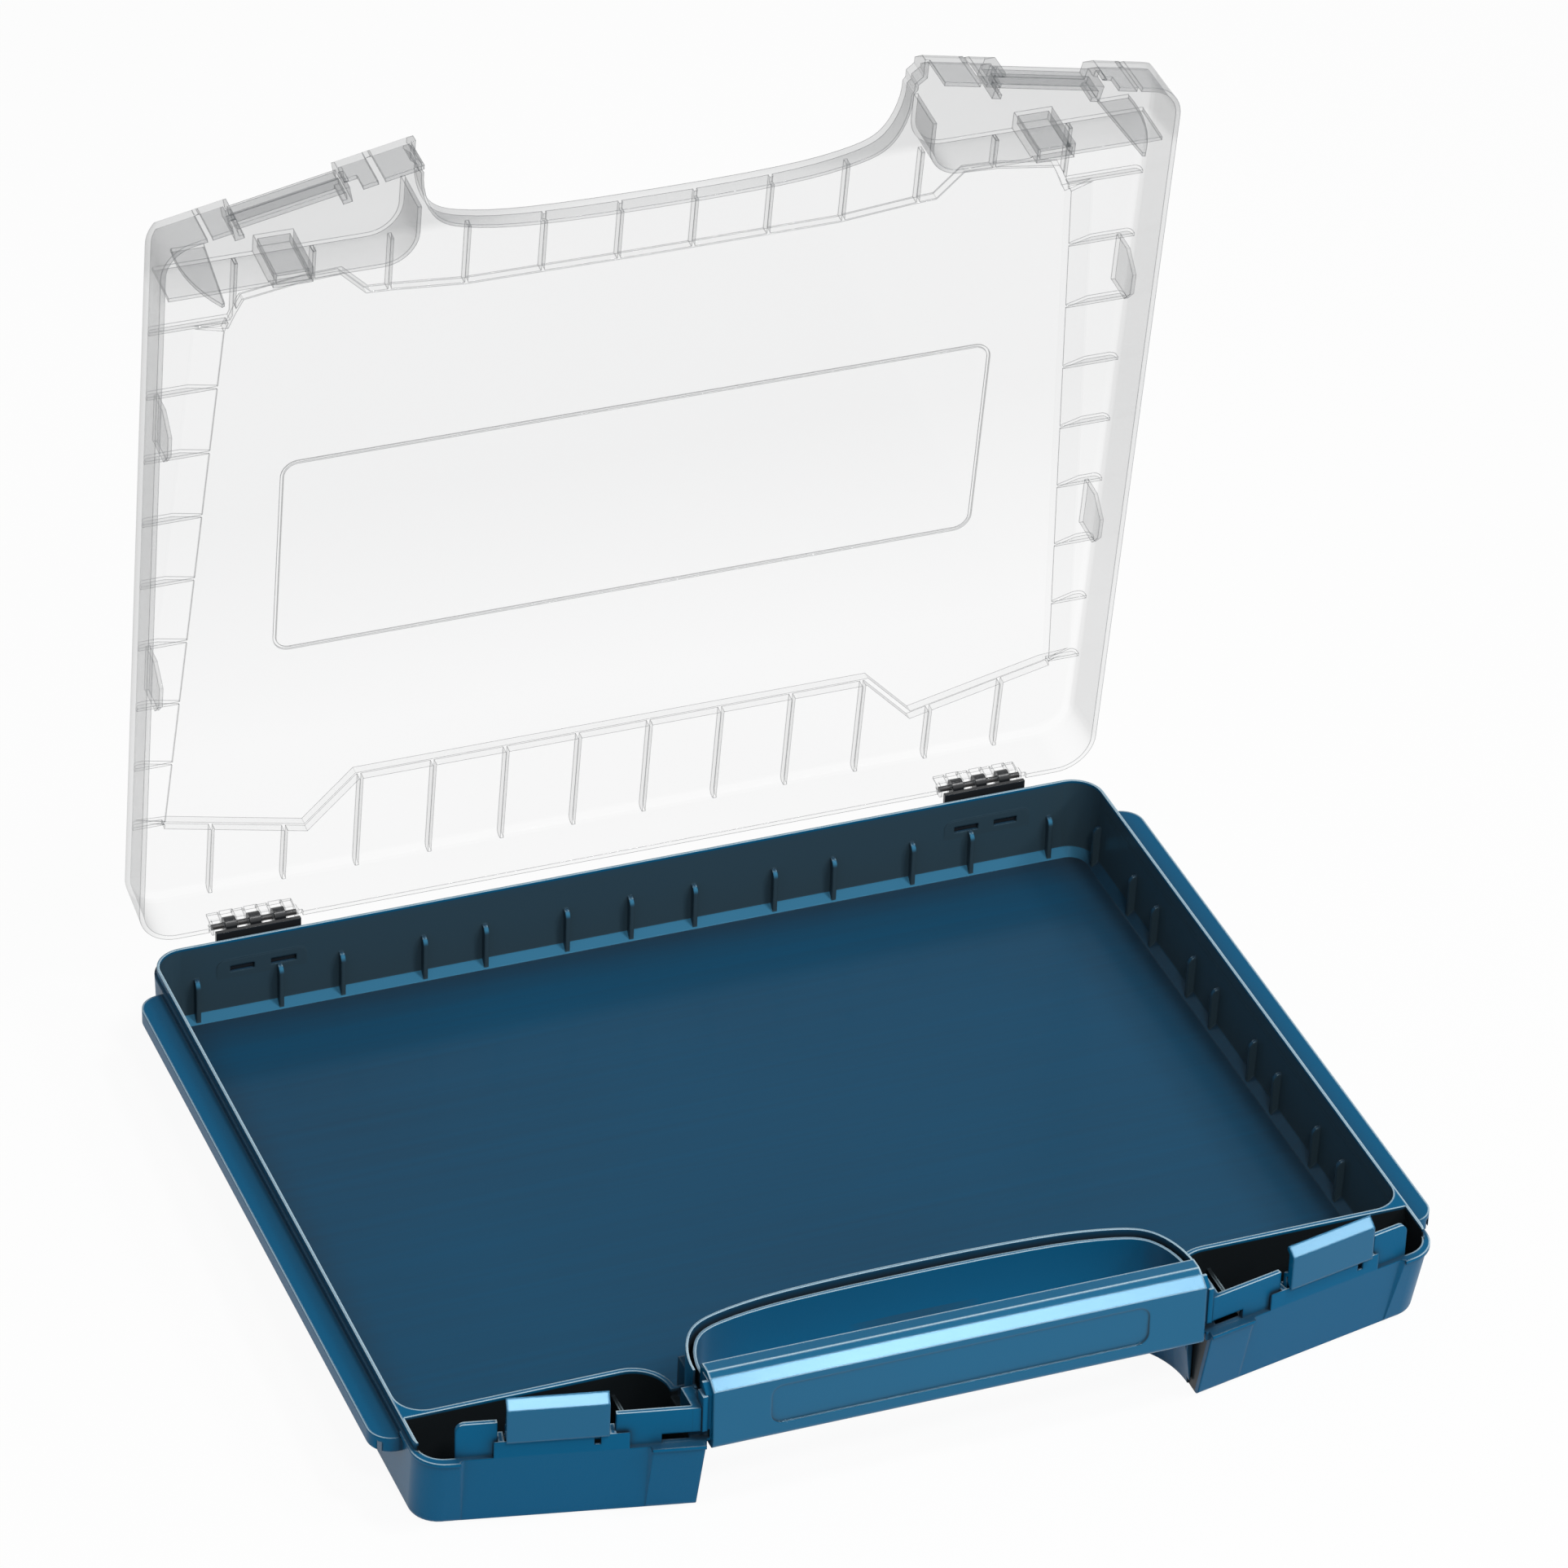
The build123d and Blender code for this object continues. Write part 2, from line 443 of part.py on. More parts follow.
def lid_front_wall():
    """Wall that stands over the compartment front wall and turns to the handle."""
    y, z0, z1 = FRONT_WALL_Y - 0.2, RIM_Z + 0.6, LID_CEILING + INTO
    x, r, t = HANDLE_X + 4, WALL_TURN, 1.4
    wall = box(x + r, 172, y - t, y, z0, z1) + box(x, x + t, y - r - WALL_END, y - r, z0, z1)
    bend = Pos(x + r, y - r) * (Circle(r) - Circle(r - t)) & Pos(x + r / 2, y - r / 2) * Rectangle(r, r)
    return wall + slab(bend, z0, z1)


def lid_bridge():
    """Hollow box in front of the inner wall."""
    (x0, x1), (n0, n1), t = BRIDGE_X, BRIDGE_N, BRIDGE_T
    y = FRONT_WALL_Y - 1.6
    bridge = box(x0, x1, y - n1, y - n0, LID_EDGE - 1, LID_CEILING + INTO)
    bridge -= box(x0 + t, x1 - t, y - n1 + t, y - n0 - t, LID_EDGE - 2, LID_CEILING - INTO)
    return bridge + box(x0, x1, y - n0 - 0.1, y + 0.1, RIM_Z + 0.6, LID_CEILING + INTO)


def lid_fin():
    """Pointed fin at a front corner, straight on its inner side and round on the outer."""
    (x0, x1), z1 = FIN_X, LID_CEILING + INTO
    tip = LID_CEILING - FIN_DROP
    curve = ThreePointArc((x0 + 4, 0, tip), (x1 - 1, 0, tip + 14), (x1, 0, z1))
    rest = Polyline((x1, 0, z1), (x0, 0, z1), (x0 + 3, 0, tip + 0.5), (x0 + 4, 0, tip))
    fin = extrude(make_face(curve + rest), FIN_T / 2, both=True)
    return Pos(0, FRONT_WALL_Y - LID_WALL + FIN_Y) * fin


def latch_pocket(p0, p1):
    """Room for one latch: its plate, its hook, and the hollow behind the hook."""
    t, hook = POCKET_WALL, LID_TOP - 4.3
    room = sbox(p0, p1, -5, LATCH_N + 0.3, LID_EDGE - 2, LID_TOP + 5)
    room += sbox(p0, p1, LATCH_N, 9.0, hook, LID_TOP + 5)
    room += sbox(p0, p1, LATCH_N + 2.1, 9.2, LID_EDGE, hook - 1.8)
    room += sbox(p0 + t, p1 - t, 9.0, 12.5, LID_EDGE, hook - 1.8)
    return room + sbox(PAD_X[0] - 0.4, PAD_X[1] + 0.4, -1, 2.6, LID_EDGE - 1, PAD_Z + 0.4)


def make_lid():
    outer, lid = lid_shell()
    cage = slab(outline(LID_X - 1, LID_BACK - 1, 1, 13, 12), 0, LID_CEILING + 1)
    panel, above = side_slopes()
    lid = (lid + panel + (lid_ribs() & cage)) - above
    # label frame, a thin raised rectangle
    u0, u1 = FRAME_U
    ring = RectangleRounded(2 * FRAME_X, u1 - u0, FRAME_R)
    ring -= RectangleRounded(2 * (FRAME_X - FRAME_LINE), u1 - u0 - 2 * FRAME_LINE, FRAME_R - FRAME_LINE)
    lid += Pos(0, AXIS_Y - (u0 + u1) / 2, LID_TOP - SUNK - 0.2) * extrude(ring, 0.8)
    lid += both(lid_front_wall() & cage)
    # guide tabs that drop inside the tray side walls
    z1 = LID_CEILING + INTO
    for u0, u1 in TAB_U:
        y0, y1 = AXIS_Y - u0, AXIS_Y - u1
        tip = LID_CEILING - TAB_DROP
        tab = across([(y0, z1), (y1, z1), (y1, tip + 7), (y1 + 6, tip), (y0 - 5, tip), (y0, tip + 4)], TAB_T)
        lid += both(Pos(TAB_X) * tab)
    # pockets for the latches
    p0, p1, t = LATCH_X0 - POCKET_IN, LATCH_X1 + POCKET_OUT, POCKET_WALL
    lid += both(sbox(p0 - t, p1 + t, 0.2, 10.8, PAD_Z + 1.2, LID_TOP)) & outer
    lid -= both(latch_pocket(p0, p1))
    for x0, x1 in BLOCK_GAPS:
        lid -= both(sbox(x0, x1, -2, BEVEL_N / 2, LID_EDGE - 1, LID_CEILING - 1))
    lid += both((lid_bridge() + lid_fin()) & cage)
    lid = handle_notch(lid, outer)
    x1 = WINGS[1][1] + 1.3
    lid -= both(sbox(PILLAR_X - 3, x1, WING_OFF - 0.4, LATCH_N + 0.3, LID_EDGE - 1, WING_Z + 0.4))
    return lid_hinge(lid)


def handle_notch(lid, outer):
    """Notch round the finger opening, with a skirt that drops into the groove."""
    def tail(x, step, turn, side):
        y = D_END + 0.2
        return lambda xe: [(x, y), (x, y - step), (side, y - turn), (side, -175)]

    skirt_line = d_face(0.33, tail(86.2, 2.0, 4.4, 89.1))
    lid -= slab(d_face(-0.12, tail(86.8, 2.0, 4.6, 89.1)), 0, D_TOP + 0.5)
    skirt = slab(skirt_line, SKIRT_Z, LID_CEILING + INTO) & outer
    lid = lid - slab(skirt_line, 0, LID_CEILING) + skirt
    return lid - slab(d_face(0.61, tail(84.9, 2.8, 5.2, 87.5)), 0, LID_TOP + 5)


def lid_hinge(lid):
    """Lid knuckles, and windows for the bracket's knuckles between them."""
    back = LID_BACK - 6
    lid -= both(box(HINGE_X0 - 1.5, HINGE_X1 + 1.5, back, LID_BACK + 5, LID_EDGE - 1, LID_EDGE + 1.1))
    for i in range(N_KNUCKLES):
        if i % 2 == 0:
            x0, x1 = knuckle_span(i)
            root = box(x0, x1, LID_BACK - LID_WALL, LID_BACK + INTO, AXIS_Z - 1.9, AXIS_Z + 6)
            lid += both(rod(x0, x1, AXIS_Y, AXIS_Z, KNUCKLE_R) + root)
        else:
            x0, x1 = knuckle_span(i, KNUCKLE_GAP)
            window = box(x0, x1, back, LID_BACK + 5, LID_EDGE - 1, AXIS_Z + 4.5)
            lid -= both(rod(x0, x1, AXIS_Y, AXIS_Z, KNUCKLE_R + 0.4) + window)
    return lid - both(rod(HINGE_X0 - 1, HINGE_X1 + 1, AXIS_Y, AXIS_Z, PIN_R + RUN_FIT))


def save(name, shape):
    print(name, "volume", round(shape.volume), "valid", shape.is_valid, "solids", len(shape.solids()))
    export_step(shape, f"parts/{name}.step")


os.makedirs("parts", exist_ok=True)
for make, name in ((make_latch, "latch"), (make_latch_pin, "latch_pin"), (make_bracket, "hinge_bracket"),
                   (make_hinge_pin, "hinge_pin")):
    piece = make()
    save(f"{name}_right", piece)
    save(f"{name}_left", mirror(piece, Plane.YZ))
save("handle_grip", make_grip())
hinge = Axis((0, AXIS_Y, AXIS_Z), (1, 0, 0))
save("lid", make_lid().rotate(hinge, -LID_OPEN))
save("base_tray", make_tray())
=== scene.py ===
# %% [markdown]
# # An open saw blade case, from frame to finish
# The case is a moulded blue tray with a carry handle, a clear lid on two hinges and two
# snap latches.  The packed CAD model already has every piece at its true size, so nothing
# is modelled here.  This lesson dresses those pieces: first the plastics, then the floor
# and the room, then the camera, and last the lamps, which take their places from it.
# All lengths are in metres.

# %% Load the frame
import math

import bpy
from mathutils import Matrix, Vector

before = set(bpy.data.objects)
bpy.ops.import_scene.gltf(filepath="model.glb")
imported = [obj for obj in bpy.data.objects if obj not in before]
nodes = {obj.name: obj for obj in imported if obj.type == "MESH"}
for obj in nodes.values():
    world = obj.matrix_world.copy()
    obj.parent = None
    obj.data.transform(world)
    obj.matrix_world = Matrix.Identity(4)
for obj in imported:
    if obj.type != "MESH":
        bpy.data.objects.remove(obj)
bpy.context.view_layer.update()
scene = bpy.context.scene
print("pieces:", sorted(nodes))

# %% [markdown]
# ## Sums on sockets
# Moulded plastic is never quite even, so a finish is a small sum: so much roughness, and
# a little more where the mould is worn.  In the node editor that sum is a chain of Math
# nodes, which is slow to build and hard to read.  Here one class wraps a socket, so that
# the chain reads as a line of Python, and one method makes any other node.


# %% A socket that does sums
class Level:
    """One output socket of a finish, with arithmetic that adds Math nodes."""

    def __init__(self, finish, socket):
        self.finish, self.socket = finish, socket

    def sum(self, operation, a, b=0.0, clamp=False):
        return self.finish.node("ShaderNodeMath", {0: a, 1: b}, operation=operation, use_clamp=clamp)

    def __add__(self, other):
        return self.sum("ADD", self, other)

    def __sub__(self, other):
        return self.sum("SUBTRACT", self, other)

    def __rsub__(self, other):
        return self.sum("SUBTRACT", other, self)

    def __mul__(self, other):
        return self.sum("MULTIPLY", self, other)

    def __pow__(self, other):
        return self.sum("POWER", self, other)

    def __abs__(self):
        return self.sum("ABSOLUTE", self)

    def least(self, other):
        """The smaller of the two."""
        return self.sum("MINIMUM", self, other)

    def over(self, width):
        """0 below zero, 1 above width, straight between."""
        return self.sum("MULTIPLY", self, 1 / width, clamp=True)

    __radd__, __rmul__ = __add__, __mul__


print("made:", Level.__doc__)


# %% A finish under construction
class Finish:
    """The node tree of a material, or of the world, while it is being built."""

    def __init__(self, owner):
        owner.use_nodes = True
        self.owner, self.tree = owner, owner.node_tree
        self.tree.nodes.clear()

    def node(self, kind, values=None, out=0, **settings):
        """Add a node: its settings first, then values or links for its sockets."""
        made = self.tree.nodes.new(kind)
        for key, value in settings.items():
            setattr(made, key, value)
        for key, value in (values or {}).items():
            if isinstance(value, Level):
                self.tree.links.new(value.socket, made.inputs[key])
            else:
                made.inputs[key].default_value = value
        return Level(self, made.outputs[out])

    def done(self, shader, end="ShaderNodeOutputMaterial"):
        output = self.tree.nodes.new(end)
        self.tree.links.new(shader.socket, output.inputs["Surface"])
        print("finish:", self.owner.name, len(self.tree.nodes), "nodes")
        return self.owner


print("made:", Finish.__doc__)

# %% [markdown]
# ## Colours
# The blue, the dark nylon and the shade were all picked on screen, as a painter would
# match a swatch.  The screen stores a colour on a curve that gives the eye even steps,
# and a shader reckons with the light itself, on a straight scale.  Typing the screen's
# numbers into a shader would make every colour too pale, so each one is straightened
# first.


# %% Colours picked on screen
def paint(hex_code):
    """A colour picked on screen, as the linear values that shaders take."""
    parts = [int(hex_code[i:i + 2], 16) / 255 for i in (0, 2, 4)]
    return (*[p / 12.92 if p <= 0.04045 else ((p + 0.055) / 1.055) ** 2.4 for p in parts], 1)


print("a mid grey is", [round(v, 3) for v in paint("808080")])

# %% [markdown]
# ## Telling the parts of the mould apart
# The tray is one shot of polypropylene with two finishes from one mould.  The inside is polished, and its
# walls and the pockets behind the latches get a deep painted shade; the outside has a fine spark-eroded
# grain that spreads every gleam.  The mesh could be cut up and given a material for each part, but the
# real tray has no seam there.  A mask made from the place on the object needs no cut: it is 1 inside, 0
# outside, and steps softly from one to the other.

# %% A place on the object, and a rounded corner
FADE = 0.0006           # width of a mask's soft step
CORNER_STEP = 0.0002    # the same, where a straight wall turns into a corner


def split(skin, vector):
    """The X, Y and Z of a vector, with X as a distance from the middle."""
    x, y, z = (skin.node("ShaderNodeSeparateXYZ", {"Vector": vector}, out=axis) for axis in "XYZ")
    return abs(x), y, z


def in_corner(out, forth, radius):
    """Above 0 up to radius from the centre of a rounded corner, and where out is below 0."""
    arc = (out.over(1.0) ** 2.0 + forth.over(1.0) ** 2.0) ** 0.5
    return radius - arc + (1 - out.over(CORNER_STEP))


print("masks fade over", FADE * 1000, "mm")

# %% Where the inside is
WALL_SIDE, WALL_FRONT, WALL_BACK, WALL_TOP = 0.1733, -0.1185, 0.1475, 0.0320
REAR_SIDE, REAR_Y, REAR_RADIUS = 0.1627, 0.1369, 0.0107     # the rounded rear corners


def inside_of(side, y, z):
    """1 in the compartment, 0 on the outside."""
    depth = (WALL_SIDE - side).least(WALL_BACK - y).least(y - WALL_FRONT)
    corner = in_corner(side - REAR_SIDE, y - REAR_Y, REAR_RADIUS)
    return depth.least(corner).least(WALL_TOP - z).over(FADE)


print(f"compartment mask: {2000 * WALL_SIDE:.0f} by {1000 * (WALL_BACK - WALL_FRONT):.0f} mm")

# %% Where the front pockets are
FRONT_SIDE, FRONT_Y, SWEEP = 0.085, -0.1589, 0.2145         # the front face starts here and sweeps back
LEDGE, LEAN = 0.0298, 0.0075                                # below the ledge the face leans in
WALL_SKIN = 0.0019                                          # how thick the front wall is
HOUSING_SKIN, HOUSING_FROM, HOUSING_STEP = 0.0041, 0.0288, 0.0005   # more, at the latch's housing
POCKET_IN, POCKET_OUT, POCKET_BACK = 0.0858, 0.1736, -0.1178
FOOT_SIDE, FOOT_Y, FOOT_RADIUS = 0.1636, -0.1308, 0.0101    # the rounded outer corner


def pocket_of(side, y, z):
    """1 on the surfaces inside the pockets behind the swept front walls, where their shade is painted."""
    behind = y - FRONT_Y - SWEEP * (side - FRONT_SIDE)
    housing = HOUSING_SKIN * (z - HOUSING_FROM).over(HOUSING_STEP)
    depth = behind - LEAN * (1 - z * (1 / LEDGE)) - WALL_SKIN - housing
    foot_y = (FOOT_Y + LEAN) - LEAN / LEDGE * z     # the corner leans in with the wall
    corner = in_corner(side - FOOT_SIDE, foot_y - y, FOOT_RADIUS)
    across = (side - POCKET_IN).least(POCKET_OUT - side).least(corner)
    return depth.least(across).least(POCKET_BACK - y).least(WALL_TOP - z).over(FADE)


print(f"pocket mask: {1000 * (POCKET_OUT - POCKET_IN):.0f} mm long on each side")

# %% [markdown]
# ## Marks of the mould
# Light slides over a real tray a little unevenly.  There are faint clouds where the
# plastic cooled, a grain on the outside, and fine lines on the floor where the mould was
# polished from side to side.  A picture texture could bring all that, but it would have
# to be unwrapped and it would repeat.  Noise in object space needs neither, and
# stretching its coordinates draws the lines.

# %% Clouds, grain and polishing lines
CLOUD_SCALE, BLOTCH_SCALE, GRAIN_SCALE = 11.0, 7.0, 1900.0
DRAWN = (5.0, 420.0, 60.0)      # a low number draws the noise out along that axis


def noise(skin, place, scale, detail):
    return skin.node("ShaderNodeTexNoise", {"Vector": place, "Scale": scale, "Detail": detail}, out="Fac")


def polishing_lines(skin, place):
    drawn = skin.node("ShaderNodeVectorMath", {0: place, 1: DRAWN}, operation="MULTIPLY")
    return noise(skin, drawn, 1.0, 2.0)


print(f"grain about {1000 / GRAIN_SCALE:.1f} mm, clouds about {1000 / CLOUD_SCALE:.0f} mm across")

# %% [markdown]
# ## Edges that catch the light, and a painted highlight
# No moulded edge is sharp, and the rims of the tray each get a painted highlight, a pale line in the
# colour.  Rounding them in the mesh would take many thousands of faces.  A Bevel node rounds them for the
# light alone, and where its normal leans away from the flat one there is an edge, so the same node also
# finds the rims.  Ambient Occlusion places the painted shade in the corners, and keeps the painted
# highlight off them.

# %% Edges and corners
EDGE_RADIUS, EDGE_SAMPLES = 0.0010, 6
CORNER_REACH, CORNER_SAMPLES = 0.022, 8
LEANS, UP_FROM, UP_OVER = 0.012, 0.8, 0.1           # an edge leans so far; a rim looks up so much
FREE_FROM, FREE_OVER, RIM_HIGHLIGHT_SHOWS = 0.72, 0.2, 0.9        # a rim stands free; how much of the painted highlight shows


def edge_normals(skin, radius, samples):
    """The rounded normal, the flat one, and how far they agree: 1 away from the edges."""
    edge = skin.node("ShaderNodeBevel", {"Radius": radius}, out="Normal", samples=samples)
    flat = skin.node("ShaderNodeNewGeometry", out="Normal")
    same = skin.node("ShaderNodeVectorMath", {0: edge, 1: flat}, out="Value", operation="DOT_PRODUCT")
    return edge, flat, same


def painted_rim_highlight(same, rise, open_air):
    """The painted highlight: a pale line on edges that look up and stand free."""
    free = (open_air - FREE_FROM).over(FREE_OVER)
    return (1 - same).over(LEANS) * (rise - UP_FROM).over(UP_OVER) * free * RIM_HIGHLIGHT_SHOWS


print("edges look rounded to", EDGE_RADIUS * 1000, "mm")

# %% [markdown]
# ## One set of marks and painted light for three blues
# The tray, the grip and the latches come from the same plastic, so their finishes need
# the same masks.  A node group could hold them, but a group hides what is in it.  One
# function that adds the nodes to each finish keeps them in plain sight, and hands them
# over by name.

# %% All the marks of the blue plastic, and where its light and shade are painted
LOOKS_FORWARD = -1.4        # slopes that look to the front count this much towards the painted light


def mould_marks_and_painted_light(skin):
    """Every mask that the blue finishes share: marks of the mould, and where shade, light and a highlight
    are painted.
    """
    place = skin.node("ShaderNodeTexCoord", out="Object")
    side, y, z = split(skin, place)
    inside = inside_of(side, y, z)
    edge, flat, same = edge_normals(skin, EDGE_RADIUS, EDGE_SAMPLES)
    forward = skin.node("ShaderNodeSeparateXYZ", {"Vector": flat}, out="Y") * LOOKS_FORWARD
    rise = skin.node("ShaderNodeSeparateXYZ", {"Vector": flat}, out="Z").over(1.0)
    open_air = skin.node("ShaderNodeAmbientOcclusion", {"Distance": CORNER_REACH}, out="AO",
                         samples=CORNER_SAMPLES, only_local=True)
    # open_air places the painted corner shade, slope the painted light, pocket the painted pocket shade
    # and line the painted rim highlight; cloud, blotch, grain and streaks are marks of the mould.
    return dict(
        inside=inside, pocket=pocket_of(side, y, z), edge=edge, rise=rise, open_air=open_air,
        line=painted_rim_highlight(same, rise, open_air), slope=rise * (1 - rise) * 4 * inside * forward.over(1.0),
        cloud=noise(skin, place, CLOUD_SCALE, 3.0), blotch=noise(skin, place, BLOTCH_SCALE, 1.0),
        grain=noise(skin, place, GRAIN_SCALE, 1.0), streaks=polishing_lines(skin, place))


print("slopes that look forward count", -LOOKS_FORWARD, "times")

# %% [markdown]
# ## The blue plastic
# One blue, with light and shade painted over it in layers like a painter's glaze: painted shade in the
# corners and, more lightly, over the whole inside, painted light on the slope round the floor, a painted
# grey of shade and reflection on the polished walls that mirror one another, painted near-black shade in
# the pockets, and last a painted highlight, a pale line along the rims.  The shade could be left to the
# lamps alone, but a mirror-like wall shows what stands opposite, and the painted layers hold that look
# from every side.  The grip and the latches are the same plastic with a smoother face.

# %% Layers of colour
# SHADE, WALL_SHADE and POCKET_SHADE are painted shade, SLOPE_LIGHT is painted light and EDGE_LIGHT is a
# painted highlight.
SHADE, WALL_SHADE, POCKET_SHADE = paint("2b3136"), paint("3c4f58"), paint("1f2427")
SLOPE_LIGHT, EDGE_LIGHT = paint("3f86ab"), paint("d4effa")
BLOTCHED, STREAKED = 0.26, 0.18         # how far the inside darkens in blotches and streaks
CLOUD_DARK, CLOUD_SPAN = 0.93, 0.14     # the darkest cloud, and how much lighter the lightest is
DEEPEN, WALL_SHARE = 1.6, 0.85          # painted corner shade falls off this fast; the walls' painted grey of shade and reflection is this strong


def blend(skin, amount, first, second):
    """first where amount is 0, second where it is 1."""
    return skin.node("ShaderNodeMix", {0: amount, 6: first, 7: second}, out=2, data_type="RGBA")


def blue_layers(skin, marks, colour, painted_inside_shade):
    """The colour with its painted shade, light, reflection and highlight, from the deepest layer to the
    top one.
    """
    # Inside the compartment a painted shade darkens the colour evenly, and blotches and polishing streaks
    # darken it unevenly.
    painted_shade_and_marks = 1 - marks["inside"] * (painted_inside_shade + BLOTCHED * marks["blotch"] + STREAKED * marks["streaks"])
    lit = marks["open_air"] ** DEEPEN * (CLOUD_DARK + CLOUD_SPAN * marks["cloud"]) * painted_shade_and_marks
    # Painted shade: SHADE fills the corners that Ambient Occlusion finds, and the inside is darkened as
    # well.
    hue = blend(skin, lit, SHADE, colour)
    # Painted light on the slopes round the floor that look up and forward.
    hue = blend(skin, marks["slope"], hue, SLOPE_LIGHT)
    # Painted shade and reflection: the inner walls are painted a dark grey.
    hue = blend(skin, marks["inside"] * (1 - marks["rise"]) ** 2.0 * WALL_SHARE, hue, WALL_SHADE)
    # Painted shade: the pockets are painted near black.
    hue = blend(skin, marks["pocket"], hue, POCKET_SHADE)
    # Painted highlight: the pale line along the rims.
    return blend(skin, marks["line"], hue, EDGE_LIGHT)


print("edge light:", [round(v, 2) for v in EDGE_LIGHT[:3]])

# %% Blue plastic
GLEAM = paint("b4e4ff")
CLOUDED, SCUFFED = 0.08, 0.05           # how far clouds and streaks roughen the face
GRAIN_DEPTH, BLUE_IOR = 0.0002, 1.5


def moulded_blue(name, colour, rough, polished=0.0, painted_inside_shade=0.0, gloss=0.5, grit=0.14):
    """Satin blue; inside the compartment it is smoother by polished, and dim paints a shade there that
    makes it darker.
    """
    skin = Finish(bpy.data.materials.new(name))
    marks = mould_marks_and_painted_light(skin)
    rubbed = (rough - CLOUDED / 2) + CLOUDED * marks["cloud"]
    rubbed = rubbed - marks["inside"] * polished + marks["inside"] * marks["streaks"] * SCUFFED
    pitted = skin.node("ShaderNodeBump", {
        "Height": marks["grain"] * (1 - marks["inside"]), "Strength": grit, "Distance": GRAIN_DEPTH,
        "Normal": marks["edge"]}, out="Normal")
    return skin.done(skin.node("ShaderNodeBsdfPrincipled", {
        "Base Color": blue_layers(skin, marks, colour, painted_inside_shade), "Roughness": rubbed, "Normal": pitted,
        "IOR": BLUE_IOR, "Specular IOR Level": gloss, "Specular Tint": GLEAM}))


tray_blue = moulded_blue("tray_blue", paint("08608a"), 0.34, polished=0.17, painted_inside_shade=0.25, gloss=0.09)
grip_blue = moulded_blue("grip_blue", paint("086088"), 0.19, grit=0.07)
latch_blue = moulded_blue("latch_blue", paint("085e86"), 0.19, grit=0.07)

# %% [markdown]
# ## The clear lid
# Clear styrene hardly shows where it is seen face on, and turns grey where it is seen along its
# thickness.  A glass shader would bend the light through every thin wall, which is slow and noisy, and a
# thin wall bends almost nothing.  Alpha is enough: Layer Weight gives the angle, and the edges come from
# the Bevel node, as on the tray.  The blocks over the latches are thicker, so they hold a little more
# grey, and a faint painted reflection, a grey that grows with height, rises towards the free edge.

# %% Clear plastic
LID_EDGE_RADIUS, LID_EDGE_SAMPLES = 0.0007, 8
ALONG_GREY, EDGE_GREY, FACE_GREY = 0.55, 2.3, 0.010     # along its thickness, at an edge, face on
BLOCKS_FROM, BLOCKS_OVER, BLOCKS_GREY = 0.303, 0.004, 0.09      # from this height on the open lid
# A painted reflection: grey that grows with height on the open lid.
REFLECTION_FROM, REFLECTION_OVER, REFLECTION_GREY = 0.10, 0.10, 0.042


def clear_plastic(name, colour, rough):
    """Clear, with its grey given by angle, edges and height; part of the grey by height is a painted
    reflection.
    """
    skin = Finish(bpy.data.materials.new(name))
    edge, _, same = edge_normals(skin, LID_EDGE_RADIUS, LID_EDGE_SAMPLES)
    graze = skin.node("ShaderNodeLayerWeight", {"Blend": 0.5}, out="Facing")
    place = skin.node("ShaderNodeTexCoord", out="Object")
    height = skin.node("ShaderNodeSeparateXYZ", {"Vector": place}, out="Z")
    blocks = (height - BLOCKS_FROM).over(BLOCKS_OVER) * BLOCKS_GREY
    painted_reflection = (height - REFLECTION_FROM).over(REFLECTION_OVER) * REFLECTION_GREY
    there = graze ** 3.0 * ALONG_GREY + (1 - same) * EDGE_GREY + blocks + painted_reflection + FACE_GREY
    return skin.done(skin.node("ShaderNodeBsdfPrincipled", {
        "Base Color": colour, "Roughness": rough, "IOR": 1.5, "Alpha": there, "Normal": edge}))


lid_clear = clear_plastic("lid_clear", paint("75797c"), 0.06)

# %% [markdown]
# ## Hinges and pins
# The hinge brackets are near-black nylon, and the pins are dull blackened steel that shows
# only at its ends.  Both are small, so one plain finish with a tiny rounded edge does for
# each; more would not be seen.


# %% Dark small parts
SMALL_EDGE_RADIUS, SMALL_EDGE_SAMPLES = 0.0003, 4


def plain(name, colour, rough):
    skin = Finish(bpy.data.materials.new(name))
    edge = skin.node("ShaderNodeBevel", {"Radius": SMALL_EDGE_RADIUS}, out="Normal",
                     samples=SMALL_EDGE_SAMPLES)
    return skin.done(skin.node("ShaderNodeBsdfPrincipled", {
        "Base Color": colour, "Roughness": rough, "Normal": edge}))


hinge_dark = plain("hinge_dark", paint("26282b"), 0.25)
pin_dark = plain("pin_dark", paint("3c3a3a"), 0.35)

# %% [markdown]
# ## Dressing the pieces
# Every piece of the frame comes with its material slots.  They could be filled by hand in
# the Properties editor; a list of finishes and pieces does it in one pass, and shows at a
# glance that no piece is left bare.

# %% Dress the pieces
DRESS = [
    (tray_blue, ["base_tray"]),
    (grip_blue, ["handle_grip"]),
    (latch_blue, ["latch_left", "latch_right"]),
    (hinge_dark, ["hinge_bracket_left", "hinge_bracket_right"]),
    (pin_dark, ["hinge_pin_left", "hinge_pin_right", "latch_pin_left", "latch_pin_right"]),
    (lid_clear, ["lid"])]
for finish, pieces in DRESS:
    for piece in pieces:
        for slot in nodes[piece].material_slots:
            slot.material = finish
print("dressed:", sum(len(pieces) for _, pieces in DRESS), "of", len(nodes), "pieces")

# %% [markdown]
# ## Floor and room
# The case stands on a pale floor in an even white room.  A white floor under strong lamps
# would do, but the same light would bleach the blue.  So both are white only to the eye:
# Light Path shows a plain white to the camera, to gleams and through the clear lid, and
# everything else gets a dimmer floor and room as light.

